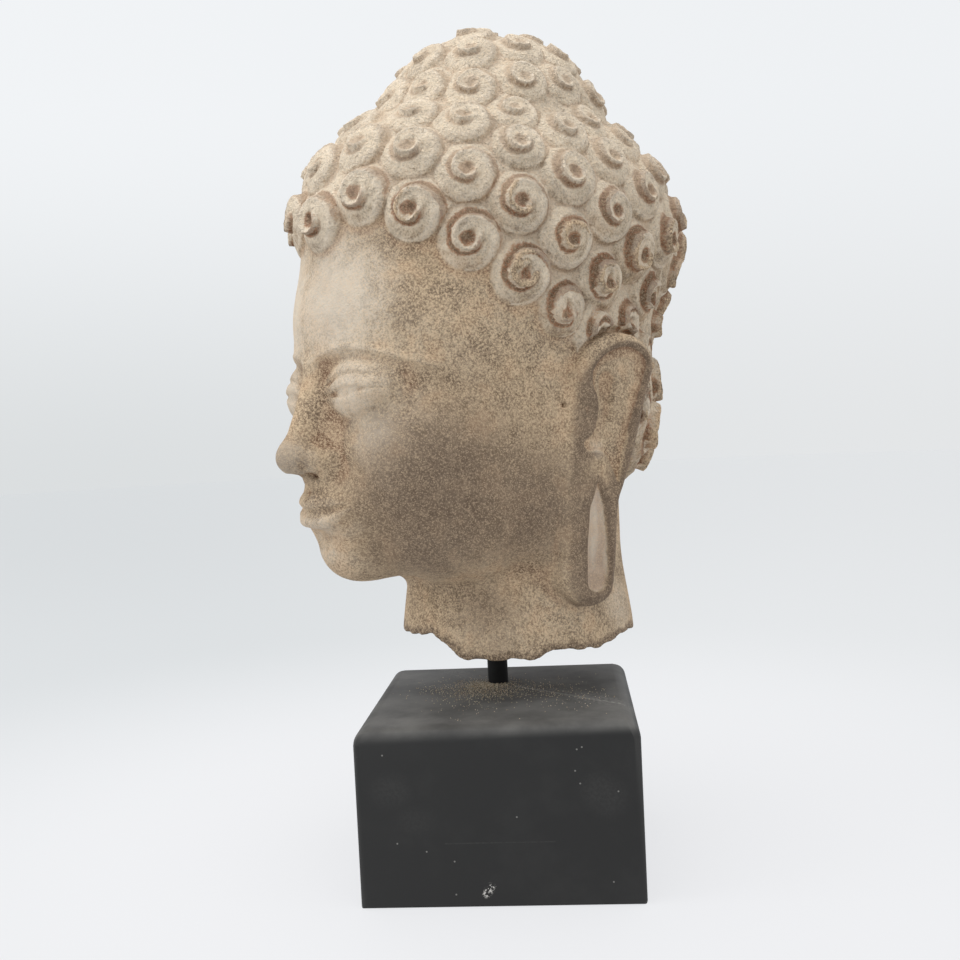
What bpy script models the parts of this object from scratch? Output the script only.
"""A Buddha's head carved from one stone, held by a steel rod above a painted block.

Metres, +Z up. The face looks along -Y and the statue's own left is +X. The origin lies on the
block's underside, straight below the rod's axis. The head is carved as a mason would: a few
round masses are fused into a blank, the features are cut into it and raised on it as one
signed distance, the skin of that distance is meshed, and the snail-shell curls are then
raised row by row.
"""

import math

import bpy
import numpy as np
import openvdb
from mathutils import Matrix, Vector

# ---------------------------------------------------------------- driving sizes

COLLECTION = "stone_buddha_head"

BLOCK_SIDE = 0.150
BLOCK_HEIGHT = 0.0933
BLOCK_TOP_ROUND = 0.0085
BLOCK_CORNER_ROUND = 0.004
BLOCK_FOOT_ROUND = 0.001
BLOCK_TURN = math.radians(52.7)          # the head is turned this far on its block
BLOCK_CENTRE_FROM_ROD = (0.0038, -0.028)  # in the block's own axes, before the turn

ROD_RADIUS = 0.006
ROD_IN_BLOCK = 0.045
ROD_IN_NECK = 0.060
ROD_FIT = 0.0003                          # clearance all round in both sockets
ROD_SIDES = 24

# Face, by the usual thirds from hairline to chin.
CHIN_Z = 0.163
FACE_TOP_Z = 0.348
THIRD = (FACE_TOP_Z - CHIN_Z) / 3
BROW_Z = FACE_TOP_Z - THIRD
NOSE_BASE_Z = BROW_Z - THIRD
MOUTH_Z = NOSE_BASE_Z - THIRD / 3
EYE_Z = BROW_Z - 0.27 * THIRD
EYE_WIDTH = 0.033                         # the face is five eyes wide
EYE_X = EYE_WIDTH
FACE_Y = -0.112                           # how far the forehead stands before the rod

EYEBALL = (0.0208, 0.0150, 0.0135)
LID_THICKNESS = 0.0016
MOUTH_HALF = 0.0265
EAR_TOP_Z = 0.2935
EAR_LEAN = 0.105                          # the ears lean outwards as they rise

# Masses
SKULL_CENTRE = (0, 0.010, 0.358)
SKULL_RADII = (0.0897, 0.1146, 0.0787)
BUN_CENTRE = (0, 0.013, 0.4055)
BUN_RADII = (0.0640, 0.0665, 0.0642)
NECK_CENTRE_Y = 0.0165
NECK_RADIUS = 0.067
NECK_BREAK = (0.1280, 0.1278, 0.1199, 0.1187, 0.1168, 0.1206, 0.1200, 0.1220, 0.1232, 0.1215, 0.1200, 0.1190,
              0.1190, 0.1205, 0.1230, 0.1262, 0.1270, 0.1250, 0.1240, 0.1252, 0.1260, 0.1275, 0.1290, 0.1285)
BREAK_MIDDLE_Z = 0.1255

# Hair, with the hairline's heights every 15 degrees from the forehead to the nape
HAIRLINE_SIDE = (0.340, 0.3525, 0.3445, 0.3295, 0.3125, 0.292, 0.272, 0.255, 0.240, 0.227, 0.216,
                 0.209, 0.207)
HAIRLINE = HAIRLINE_SIDE + HAIRLINE_SIDE[-2:0:-1]
HAIR_STEP = 0.0018
HAIR_STEP_RISE = 0.010                    # the step lies hidden under the first row of curls
CURL_PITCH = 0.0308
ROW_PITCH = 0.0295
BUN_PITCH = 0.0275
CURL_RADIUS = 0.0155
CURL_RELIEF = 0.0115
CURL_SPREAD = 1.13                        # a curl's foot lies this many radii out
CURL_LOW_Z, CURL_HIGH_Z = 0.32, 0.42      # between these heights the curls get flatter
CURL_FLATTEST = 0.68
ROW_BAND = 0.0012                         # how closely a curl keeps to its row
ROW_START = math.radians(50)              # every row is set out from here, both ways round
HAIR_EDGE = 0.0145                        # the first row's distance from the hairline
HAIR_END_Z = 0.200
BUN_BASE_Z = 0.428

# Mesh
HEAD_VOXEL = 0.0022
HEAD_TRIANGLES = 9360


# ---------------------------------------------------------------- signed distances

def ellipsoid(p, centre, radii):
    """Nearly the distance to an ellipsoid, negative inside."""
    q = (p - np.array(centre)) / np.array(radii)
    reach = np.linalg.norm(q, axis=1)
    slope = np.linalg.norm(q / np.array(radii), axis=1)
    return reach * (reach - 1.0) / np.maximum(slope, 1e-9)


def tapered_rod(p, start, end, start_radius, end_radius):
    """Distance to a round bar from start to end."""
    a = np.array(start)
    along = np.array(end) - a
    t = np.clip((p - a) @ along / (along @ along), 0.0, 1.0)
    radius = start_radius + (end_radius - start_radius) * t
    return np.linalg.norm(p - a - t[:, None] * along, axis=1) - radius


def tapered_path(p, path, radii):
    """Distance to a chain of bars."""
    d = np.full(len(p), 1.0)
    for i in range(len(path) - 1):
        d = np.minimum(d, tapered_rod(p, path[i], path[i + 1], radii[i], radii[i + 1]))
    return d


def add(d, other, blend):
    """Joins two masses with a fillet about as wide as blend."""
    h = np.clip(0.5 + 0.5 * (other - d) / blend, 0.0, 1.0)
    return other * (1 - h) + d * h - blend * h * (1 - h)


def cut(d, tool, blend):
    """Takes a tool's shape out of a mass."""
    return -add(-d, tool, blend)


def smooth(edge0, edge1, value):
    """0 before edge0, 1 after edge1, an S between."""
    t = np.clip((value - edge0) / (edge1 - edge0), 0.0, 1.0)
    return t * t * (3 - 2 * t)


def ridge(away, width):
    """A rounded line of unit height."""
    return np.exp(-(away / width) ** 2)


def wheel(angle, heights):
    """A smooth closed curve through heights given at equal steps round the head."""
    n = len(heights)
    turn = np.mod(angle, 2 * math.pi) / (2 * math.pi) * n
    i = np.floor(turn).astype(int)
    f = turn - i
    h = np.array(heights)
    a, b, c, d = (h[(i + k) % n] for k in (-1, 0, 1, 2))
    return b + 0.5 * f * (c - a + f * (2 * a - 5 * b + 4 * c - d + f * (3 * (b - c) + d - a)))


def outline_distance(u, v, outline):
    """Distance in a plane to a closed outline, negative inside."""
    pts = np.array(outline)
    nearest = np.full(len(u), 1.0)
    inside = np.zeros(len(u), bool)
    for (u0, v0), (u1, v1) in zip(pts, np.roll(pts, -1, axis=0)):
        du, dv = u1 - u0, v1 - v0
        t = np.clip(((u - u0) * du + (v - v0) * dv) / (du * du + dv * dv), 0.0, 1.0)
        nearest = np.minimum(nearest, np.hypot(u - u0 - t * du, v - v0 - t * dv))
        spans = (v0 > v) != (v1 > v)
        with np.errstate(divide="ignore", invalid="ignore"):
            inside ^= spans & (u < u0 + (v - v0) * du / dv)
    return np.where(inside, -nearest, nearest)


def rounded(points, per_side=5):
    """A closed smooth outline through a few points."""
    pts = np.array(points)
    f = np.arange(len(pts) * per_side) / per_side * (2 * math.pi / len(pts))
    return np.column_stack([wheel(f, pts[:, 0]), wheel(f, pts[:, 1])])


# ---------------------------------------------------------------- masses of the head

def azimuth(p):
    """Angle round the head from the front, positive towards the statue's left."""
    return np.arctan2(p[:, 0], -(p[:, 1] - SKULL_CENTRE[1]))


def skull(p):
    d = ellipsoid(p, SKULL_CENTRE, SKULL_RADII)
    d = add(d, ellipsoid(p, (0, 0.024, 0.262), (0.072, 0.074, 0.080)), 0.030)
    return add(d, ellipsoid(p, BUN_CENTRE, BUN_RADII), 0.008)


def face_mass(p):
    d = ellipsoid(p, (0, -0.012, 0.262), (0.079, 0.0965, 0.106))
    d = add(d, ellipsoid(p, (0, -0.020, 0.310), (0.082, 0.0925, 0.062)), 0.020)
    jaw = ellipsoid(p, (0.030, -0.030, 0.212), (0.040, 0.060, 0.047))
    cheek = ellipsoid(p, (0.038, -0.068, 0.238), (0.029, 0.031, 0.030))
    ear_root = ellipsoid(p, (0.058, 0.012, 0.225), (0.023, 0.030, 0.072))
    chin = ellipsoid(p, (0, -0.086, CHIN_Z + 0.019), (0.023, 0.022, 0.018))
    d = add(d, jaw, 0.030)
    d = add(d, cheek, 0.022)
    d = add(d, ear_root, 0.020)
    return add(d, chin, 0.018)


def neck(p):
    flare = smooth(0.175, 0.115, p[:, 2])
    side = 0.0615 + 0.006 * flare
    depth = 0.0650 + 0.006 * flare
    reach = np.hypot(p[:, 0] / side, (p[:, 1] - NECK_CENTRE_Y) / depth)
    return np.maximum((reach - 1.0) * side, p[:, 2] - 0.25)


def break_height(p):
    """Height of the broken face under the neck."""
    x, y = p[:, 0], p[:, 1] - NECK_CENTRE_Y
    angle = np.arctan2(x, -y)
    out = np.clip(np.hypot(x, y) / NECK_RADIUS, 0.0, 1.0)
    chips = 0.0004 * np.tanh(3 * np.sin(9 * angle + 1.0))
    chips += 0.0004 * np.tanh(3 * np.sin(27 * angle + 2.2 + 2.0 * np.sin(4 * angle)))
    lumps = 0.0020 * np.sin(70 * x + 1.3) * np.sin(85 * y + 0.4)
    lumps += 0.0008 * np.sin(190 * x + 60 * y) * np.sin(210 * y - 50 * x)
    edge = wheel(angle, NECK_BREAK) + chips
    return edge * out + BREAK_MIDDLE_Z * (1 - out) + lumps


# ---------------------------------------------------------------- features of the face

def line_distance(x, z, points):
    """Distance from a polyline, as seen from in front."""
    flat = np.column_stack([x, np.zeros(len(x)), z])
    path = [(a, 0.0, b) for a, b in points]
    return tapered_path(flat, path, [0.0] * len(path))


def brow_line():
    """From the root of the nose, up over the eye and down to the temple."""
    arch = []
    for k in range(10):
        t = k / 9
        rise = 0.0105 * math.sin(math.pi * min(1.0, 0.12 + 0.80 * t)) - 0.0045 * t * t
        arch.append((0.004 + 0.063 * t, BROW_Z - 0.0055 + rise))
    return arch


def brows(d, p):
    away = line_distance(p[:, 0], p[:, 2], brow_line())
    front = smooth(-0.030, -0.050, p[:, 1])
    return d - front * (0.0014 * ridge(away, 0.0018) + 0.0016 * ridge(away, 0.0065))


def eyes(d, p):
    """Half-closed eyes: a soft socket, the ball, and two lids with a fold above them."""
    x, z = p[:, 0], p[:, 2]
    t = (x - EYE_X) / (EYE_WIDTH / 2)
    arch = 1 - np.clip(t, -1.0, 1.0) ** 2
    level = EYE_Z - 0.0022 + 0.0012 * np.clip(t, -1.3, 1.3)
    above = z - (level + 0.0030 * arch)
    below = level - 0.0026 * arch - z
    socket = ellipsoid(p, (0.034, FACE_Y - 0.0080, EYE_Z + 0.0045), (0.025, 0.0125, 0.0115))
    ball = ellipsoid(p, (EYE_X - 0.0010, FACE_Y + 0.0190, EYE_Z - 0.0005), EYEBALL)
    d = add(cut(d, socket, 0.014), ball, 0.0115)
    around = smooth(1.30, 0.90, np.hypot(t / 1.15, (z - EYE_Z) / 0.0125))
    around = around * smooth(-0.060, -0.070, p[:, 1])
    lids = LID_THICKNESS * smooth(-0.0011, 0.0011, np.maximum(above, below))
    fold = 0.0012 * ridge(above - 0.0062, 0.0014) * smooth(1.20, 1.00, np.abs(t))
    return d - (lids - fold) * around


def nose(d, p):
    tip_y = FACE_Y - 0.0118
    tip_z = NOSE_BASE_Z + 0.0095
    root = (0, FACE_Y + 0.0060, EYE_Z + 0.010)
    flanks = tapered_rod(p, (0, FACE_Y + 0.0110, EYE_Z + 0.004), (0, tip_y + 0.0190, NOSE_BASE_Z + 0.011),
                         0.0080, 0.0150)
    bridge = tapered_rod(p, root, (0, tip_y + 0.0035, tip_z + 0.004), 0.0066, 0.0088)
    tip = ellipsoid(p, (0, tip_y + 0.0020, tip_z), (0.0108, 0.0115, 0.0095))
    wing = tapered_rod(p, (0.0080, tip_y + 0.0080, NOSE_BASE_Z + 0.0080),
                       (0.0140, tip_y + 0.0180, NOSE_BASE_Z + 0.0072), 0.0072, 0.0060)
    nostril = ellipsoid(p, (0.0072, tip_y + 0.0085, NOSE_BASE_Z - 0.0008), (0.0040, 0.0062, 0.0040))
    d = add(d, flanks, 0.012)
    d = add(d, bridge, 0.008)
    d = add(d, tip, 0.006)
    d = add(d, wing, 0.004)
    return cut(d, nostril, 0.002)


def mouth_path(rows):
    """Points of a lip, given from the face's front plane and from the mouth's own height."""
    return [(x, FACE_Y + y, MOUTH_Z + z) for x, y, z in rows]


UPPER_LIP = mouth_path([(0, -0.0022, 0.0046), (0.0070, -0.0020, 0.0060), (0.0170, 0.0012, 0.0050),
                        (MOUTH_HALF, 0.0058, 0.0042)])
LOWER_LIP = mouth_path([(0, -0.0014, -0.0058), (0.0095, -0.0004, -0.0052), (0.0195, 0.0024, -0.0012),
                        (MOUTH_HALF, 0.0058, 0.0034)])
PARTING = mouth_path([(0, -0.0080, -0.0004), (0.0090, -0.0068, 0.0002), (0.0180, -0.0026, 0.0014),
                      (1.06 * MOUTH_HALF, 0.0050, 0.0042)])


def mouth(d, p):
    muzzle = ellipsoid(p, (0, FACE_Y + 0.0180, MOUTH_Z + 0.002), (0.031, 0.0225, 0.0220))
    groove = [(0, FACE_Y - 0.0110, NOSE_BASE_Z - 0.001), (0, FACE_Y - 0.0085, MOUTH_Z + 0.0105)]
    chin_crease = ellipsoid(p, (0, FACE_Y - 0.0045, MOUTH_Z - 0.0150), (0.020, 0.0085, 0.0050))
    d = add(d, muzzle, 0.014)
    d = cut(d, tapered_path(p, groove, (0.0028, 0.0036)), 0.004)
    d = add(d, tapered_path(p, UPPER_LIP, (0.0044, 0.0046, 0.0036, 0.0014)), 0.0028)
    d = add(d, tapered_path(p, LOWER_LIP, (0.0060, 0.0056, 0.0036, 0.0012)), 0.0028)
    d = cut(d, tapered_path(p, PARTING, (0.0026, 0.0026, 0.0020, 0.0004)), 0.0024)
    return cut(d, chin_crease, 0.009)


# ---------------------------------------------------------------- ears

EAR_OUTLINE = rounded([
    (0.0272, 0.2935), (0.0440, 0.2895), (0.0530, 0.2775), (0.0487, 0.2582), (0.0418, 0.2304),
    (0.0355, 0.2112), (0.0318, 0.1985), (0.0310, 0.1657), (0.0275, 0.1490), (0.0115, 0.1450),
    (-0.0025, 0.1570), (-0.0045, 0.1748), (-0.0050, 0.2012), (-0.0041, 0.2326), (-0.0022, 0.2553),
    (0.0010, 0.2725), (0.0125, 0.2885)])
EAR_HOLLOW = rounded([
    (0.0107, 0.2666), (0.0117, 0.2747), (0.0209, 0.2832), (0.0336, 0.2862), (0.0429, 0.2830),
    (0.0470, 0.2775), (0.0461, 0.2690), (0.0419, 0.2555), (0.0371, 0.2421), (0.0330, 0.2277),
    (0.0296, 0.2121), (0.0262, 0.2180), (0.0215, 0.2262), (0.0161, 0.2296), (0.0085, 0.2300),
    (0.0052, 0.2353), (0.0114, 0.2401), (0.0143, 0.2492), (0.0141, 0.2574)])
EAR_BOWL = [(0, 0.0225, 0.2680), (0, 0.0215, 0.2510), (0, 0.0150, 0.2372)]
EAR_SLOT = [(0, 0.0153, 0.2150), (0, 0.0155, 0.1990), (0, 0.0172, 0.1800), (0, 0.0178, 0.1593)]


def in_ear_plane(p):
    return np.column_stack([np.zeros(len(p)), p[:, 1], p[:, 2]])


def slot_distance(flat):
    return tapered_path(flat, EAR_SLOT, (0.0005, 0.0062, 0.0082, 0.0082))


def ear_body(q):
    """Distance to a long ear: a slab with a rolled rim, a bowl, a slotted lobe and a tragus."""
    u, v = q[:, 1], q[:, 2]
    edge = outline_distance(u, v, EAR_OUTLINE)
    inner = outline_distance(u, v, EAR_HOLLOW)
    face = 0.0930 - EAR_LEAN * (EAR_TOP_Z - v) + 0.05 * (u - 0.022)
    flat = in_ear_plane(q)
    bowl = tapered_path(flat, EAR_BOWL, (0.0095, 0.0080, 0.0070))
    tragus = ellipsoid(flat, (0, 0.0078, 0.2590), (1.0, 0.0066, 0.0042))
    hollow = 0.0034 * smooth(0.0008, -0.0018, inner)
    hollow = np.maximum(hollow, 0.0080 * smooth(0.0005, -0.0080, bowl) * smooth(0.0010, -0.0024, inner))
    hollow = np.maximum(hollow, 0.0060 * smooth(0.0006, -0.0050, slot_distance(flat)))
    rolled = 0.0024 * smooth(0.0, 0.0050, -edge) + 0.0014 * smooth(0.001, -0.004, tragus)
    height = q[:, 0] - (face - 0.0024 + rolled - hollow)
    return -add(-np.maximum(edge, 0.050 - q[:, 0]), -height, 0.0030)


def ears(p):
    """Distance to the ears, worked out only near them."""
    near = (p[:, 0] > 0.045) & (p[:, 2] > 0.135) & (p[:, 2] < 0.305) & (np.abs(p[:, 1] - 0.022) < 0.050)
    d = np.full(len(p), 1.0)
    d[near] = ear_body(p[near])
    return d


# ---------------------------------------------------------------- the carved surface


def hairline(p):
    return wheel(azimuth(p), HAIRLINE)


def bare_head(p):
    """The head without its ears, for points whose x is not negative."""
    d = add(skull(p), face_mass(p), 0.020)
    d = brows(d, p)
    d = eyes(d, p)
    d = nose(d, p)
    d = mouth(d, p)
    d = add(d, neck(p), 0.007)
    return d - HAIR_STEP * smooth(-0.008, 0.008, p[:, 2] - hairline(p) - HAIR_STEP_RISE)


def one_side(points):
    """Both halves of the head are alike, so each is worked out on the statue's left."""
    return np.column_stack([np.abs(points[:, 0]), points[:, 1], points[:, 2]])


def head_surface(points):
    """Distance to the carved head before its curls are raised; negative inside the stone."""
    p = one_side(points)
    d = add(bare_head(p), ears(p), 0.0035)
    below = break_height(points) - p[:, 2]
    return -add(-d, -below, 0.0012)


def is_hair(p):
    """Whether points of the surface lie on the hair, and not on the skin or an ear."""
    return (p[:, 2] > hairline(p)) & (p[:, 2] > HAIR_END_Z) & (bare_head(one_side(p)) < 0.0008)


def read_points(mesh):
    p = np.empty(len(mesh.vertices) * 3)
    mesh.vertices.foreach_get("co", p)
    return p.reshape(-1, 3)


def write_points(mesh, p):
    mesh.vertices.foreach_set("co", p.ravel())
    mesh.update()


def sample_lattice(surface, low, high, voxel, block=4):
    """Distances on a fine lattice, worked out only in the blocks that the surface may cross."""
    blocks = np.ceil((np.array(high) - low) / voxel / block).astype(int)
    index = np.indices(blocks).reshape(3, -1).T * block
    coarse = surface(low + (index + (block - 1) / 2) * voxel)
    grid = coarse.reshape(blocks).astype(np.float32)
    for axis in range(3):
        grid = np.repeat(grid, block, axis=axis)
    near = index[np.abs(coarse) < 1.6 * block * voxel]
    for offset in np.ndindex(block, block, block):
        cells = near + offset
        grid[tuple(cells.T)] = surface(low + cells * voxel)
    return grid


def skin(name, surface, low, high, voxel):
    """One closed mesh where the distance is zero, by the library behind Blender's Remesh."""
    volume = openvdb.FloatGrid(1.0)
    volume.copyFromArray(sample_lattice(surface, np.array(low), high, voxel))
    points, quads = volume.convertToQuads(0.0)
    mesh = bpy.data.meshes.new(name)
    mesh.from_pydata((np.array(low) + points * voxel).tolist(), [], quads.tolist())
    ob = bpy.data.objects.new(name, mesh)
    bpy.context.scene.collection.objects.link(ob)
    return ob


# ---------------------------------------------------------------- Blender helpers

def clear_scene():
    for ob in list(bpy.data.objects):
        bpy.data.objects.remove(ob, do_unlink=True)


def collection(name):
    group = bpy.data.collections.new(name)
    bpy.context.scene.collection.children.link(group)
    return group


def move_to(ob, group):
    for old in list(ob.users_collection):
        old.objects.unlink(ob)
    group.objects.link(ob)


def plain_material(name, colour, roughness):
    mat = bpy.data.materials.new(name)
    mat.use_nodes = True
    shader = mat.node_tree.nodes["Principled BSDF"]
    shader.inputs["Base Color"].default_value = (*colour, 1.0)
    shader.inputs["Roughness"].default_value = roughness
    shader.inputs["Metallic"].default_value = 0.0
    return mat


def bake_modifiers(ob):
    """Replaces the object's mesh by what its modifiers give."""
    graph = bpy.context.evaluated_depsgraph_get()
    mesh = bpy.data.meshes.new_from_object(ob.evaluated_get(graph))
    ob.modifiers.clear()
    ob.data = mesh


def column(name, radius, bottom, top, sides):
    bpy.ops.mesh.primitive_cylinder_add(vertices=sides, radius=radius, depth=top - bottom,
                                        location=(0, 0, (top + bottom) / 2))
    bpy.context.object.name = name
    return bpy.context.object


# ---------------------------------------------------------------- hair

def height_in_hair(hair, line):
    """Distance of every point of the hair from the hairline's own loop."""
    gap = np.full(len(hair), 1.0)
    for q in line:
        gap = np.minimum(gap, np.linalg.norm(hair - q, axis=1))
    return gap


def room_beside(points, centres):
    return np.min([np.linalg.norm(points - c, axis=1) for c in centres], axis=0)


def row_of_curls(row, centres, keep_off):
    """Walks both ways round one row of the hair and sets a curl wherever there is room."""
    turn = np.abs(np.mod(azimuth(row) - ROW_START + math.pi, 2 * math.pi) - math.pi)
    for q in row[np.argsort(turn, kind="stable")]:
        if room_beside(q[None], centres)[0] >= keep_off:
            centres.append(q)


def fill_gaps(points, centres, keep_off):
    """Sets smaller curls in the widest gaps, one after another."""
    room = room_beside(points, centres)
    while room.max() > keep_off:
        centres.append(points[np.argmax(room)])
        room = np.minimum(room, np.linalg.norm(points - centres[-1], axis=1))


def even_out(centres, hair, gap):
    """Lets crowded curls push each other apart; those of the hairline's row stay."""
    heights = [gap[np.argmin(np.linalg.norm(hair - c, axis=1))] for c in centres]
    free = np.array(heights) > 1.3 * HAIR_EDGE
    inner = hair[gap > HAIR_EDGE]
    for _ in range(12):
        away = centres[:, None] - centres[None]
        apart = np.linalg.norm(away, axis=2) + np.eye(len(centres))
        push = np.clip(CURL_PITCH - apart, 0, None) * 0.30
        moved = centres + (away / apart[:, :, None] * push[:, :, None]).sum(axis=1)
        for i in np.nonzero(free)[0]:
            centres[i] = inner[np.argmin(np.linalg.norm(inner - moved[i], axis=1))]
    return centres


def curl_centres(p):
    """Rings on the bun from its crown down, and rows on the cap from the hairline up."""
    on_line = np.abs(p[:, 2] - hairline(p)) < ROW_BAND
    line = p[on_line & (bare_head(one_side(p)) < 0.0008)]
    line = line[np.argsort(azimuth(line), kind="stable")][::4]
    hair = p[is_hair(p)]
    gap = height_in_hair(hair, line)
    on_bun = (ellipsoid(hair, BUN_CENTRE, BUN_RADII) < 0.004) & (hair[:, 2] > BUN_BASE_Z)
    bun = hair[on_bun]
    cap = hair[~on_bun]
    cap_gap = gap[~on_bun]
    away = np.hypot(bun[:, 0], bun[:, 1] - BUN_CENTRE[1])
    arc = BUN_RADII[0] * np.arctan2(away, bun[:, 2] - BUN_CENTRE[2])
    centres = [bun[np.argmin(away)]]
    for ring in range(1, 4):
        row_of_curls(bun[np.abs(arc - ring * 0.9 * BUN_PITCH) < ROW_BAND], centres, 0.94 * BUN_PITCH)
    for row in range(9):
        level = HAIR_EDGE + row * ROW_PITCH
        row_of_curls(cap[np.abs(cap_gap - level) < ROW_BAND], centres, 0.96 * CURL_PITCH)
    fill_gaps(hair[gap > HAIR_EDGE], centres, 0.72 * CURL_PITCH)
    return even_out(np.array(centres), hair, gap)


def curl_relief(p, centres):
    """How far each curl stands out: a rounded cone with a button on it, flatter near the crown."""
    apart = np.linalg.norm(centres[:, None] - centres[None], axis=2) + np.eye(len(centres))
    radii = np.minimum(CURL_RADIUS, 0.52 * apart.min(axis=1))
    boldness = np.interp(centres[:, 2], (CURL_LOW_Z, CURL_HIGH_Z), (1.0, CURL_FLATTEST))
    tops = CURL_RELIEF * boldness * radii / CURL_RADIUS
    relief = np.zeros(len(p))
    for centre, radius, top in zip(centres, radii, tops):
        t = np.minimum(np.linalg.norm(p - centre, axis=1) / radius / CURL_SPREAD, 1.0)
        cone = (1 - t ** 2.2) * (0.66 + 0.16 * smooth(0.85, 0.25, t))
        relief = np.maximum(relief, top * cone)
    return relief


# ---------------------------------------------------------------- head

def raise_curls(mesh):
    p = read_points(mesh)
    n = np.empty(len(mesh.vertices) * 3)
    mesh.vertices.foreach_get("normal", n)
    side = one_side(p)
    free = (bare_head(side) < 0.0008) * smooth(0.0005, 0.0040, ears(side))
    out = curl_relief(p, curl_centres(p)) * free
    write_points(mesh, p + out[:, None] * n.reshape(-1, 3))


def reduce_to(ob, triangles):
    """Thins a mesh, keeping its strongest forms."""
    ob.data.calc_loop_triangles()
    mod = ob.modifiers.new("Thin", "DECIMATE")
    mod.ratio = triangles / len(ob.data.loop_triangles)
    mod.use_collapse_triangulate = True
    bake_modifiers(ob)


def drill(ob, cutter, name):
    """Takes the cutter out of a piece."""
    mod = ob.modifiers.new(name, "BOOLEAN")
    mod.operation = "DIFFERENCE"
    mod.solver = "EXACT"
    mod.object = cutter


def carve_head(voxel=HEAD_VOXEL):
    """The head in one piece of stone, down to its broken neck."""
    head = skin("head", head_surface, (-0.108, -0.150, 0.105), (0.108, 0.140, 0.492), voxel)
    raise_curls(head.data)
    return head


# ---------------------------------------------------------------- stand

def block_centre():
    """Middle of the block, which is turned under the rod."""
    x, y = BLOCK_CENTRE_FROM_ROD
    c, s = math.cos(BLOCK_TURN), math.sin(BLOCK_TURN)
    return Vector((x * c - y * s, x * s + y * c, BLOCK_HEIGHT / 2))


def make_block():
    """Painted block: soft edges above and at the corners, a crisper one below."""
    bpy.ops.mesh.primitive_cube_add(size=1.0)
    block = bpy.context.object
    block.name = "block"
    block.data.transform(Matrix.Diagonal((BLOCK_SIDE, BLOCK_SIDE, BLOCK_HEIGHT, 1.0)))
    block.location = block_centre()
    block.rotation_euler.z = BLOCK_TURN
    weights = block.data.attributes.new("bevel_weight_edge", "FLOAT", "EDGE")
    for edge in block.data.edges:
        heights = [block.data.vertices[v].co.z for v in edge.vertices]
        if max(heights) < 0:
            weights.data[edge.index].value = BLOCK_FOOT_ROUND / BLOCK_TOP_ROUND
        elif min(heights) > 0:
            weights.data[edge.index].value = 1.0
        else:
            weights.data[edge.index].value = BLOCK_CORNER_ROUND / BLOCK_TOP_ROUND
    mod = block.modifiers.new("Rounded edges", "BEVEL")
    mod.width = BLOCK_TOP_ROUND
    mod.segments = 4
    mod.limit_method = "WEIGHT"
    return block


def main():
    clear_scene()
    parts = collection(COLLECTION)
    cutters = collection("cutters")
    foot_z = BLOCK_HEIGHT - ROD_IN_BLOCK
    neck_top_z = NECK_BREAK[0] + ROD_IN_NECK

    head = carve_head()
    reduce_to(head, HEAD_TRIANGLES)
    head.data.materials.append(plain_material("sandstone", (0.36, 0.29, 0.21), 0.9))
    rod = column("rod", ROD_RADIUS, foot_z, neck_top_z, ROD_SIDES)
    rod.data.materials.append(plain_material("black steel", (0.012, 0.012, 0.013), 0.45))
    block = make_block()
    block.data.materials.append(plain_material("black paint", (0.030, 0.031, 0.033), 0.6))

    socket = column("socket", ROD_RADIUS + ROD_FIT, foot_z - ROD_FIT, neck_top_z + ROD_FIT, ROD_SIDES)
    socket.hide_render = True
    socket.display_type = "WIRE"
    move_to(socket, cutters)
    drill(head, socket, "Socket in the neck")
    drill(block, socket, "Socket in the block")

    for ob in (head, rod, block):
        move_to(ob, parts)
    for ob in (head, rod):
        ob.data.shade_smooth()
        ob.data.set_sharp_from_angle(angle=math.radians(40))


if __name__ == "__main__":
    main()
